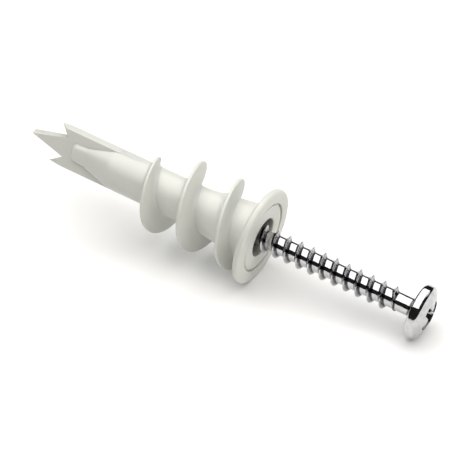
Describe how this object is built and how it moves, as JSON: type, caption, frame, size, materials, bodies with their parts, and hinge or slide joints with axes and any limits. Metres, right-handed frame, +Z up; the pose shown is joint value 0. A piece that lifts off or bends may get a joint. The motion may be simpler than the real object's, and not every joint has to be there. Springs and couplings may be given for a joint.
{
  "type": "self-drilling drywall anchor",
  "caption": "Nylon self-drilling plasterboard anchor with a cutting blade, coarse right-hand flight and stepped flange, with a pan-head tapping screw started in its mouth.",
  "frame": {"origin": "below the middle of the pair, on the surface it lies on", "axes": "+X from the cutting point towards the screw head, +Z up; the pair lies as it rests on a table"},
  "size_m": [0.0678, 0.015, 0.0155],
  "materials": {
    "nylon": "off-white nylon, satin as moulded",
    "steel": "bright zinc-plated steel"
  },
  "bodies": {
    "root": {"anchor_body": "nylon", "screw": "steel"}
  },
  "joints": []
}
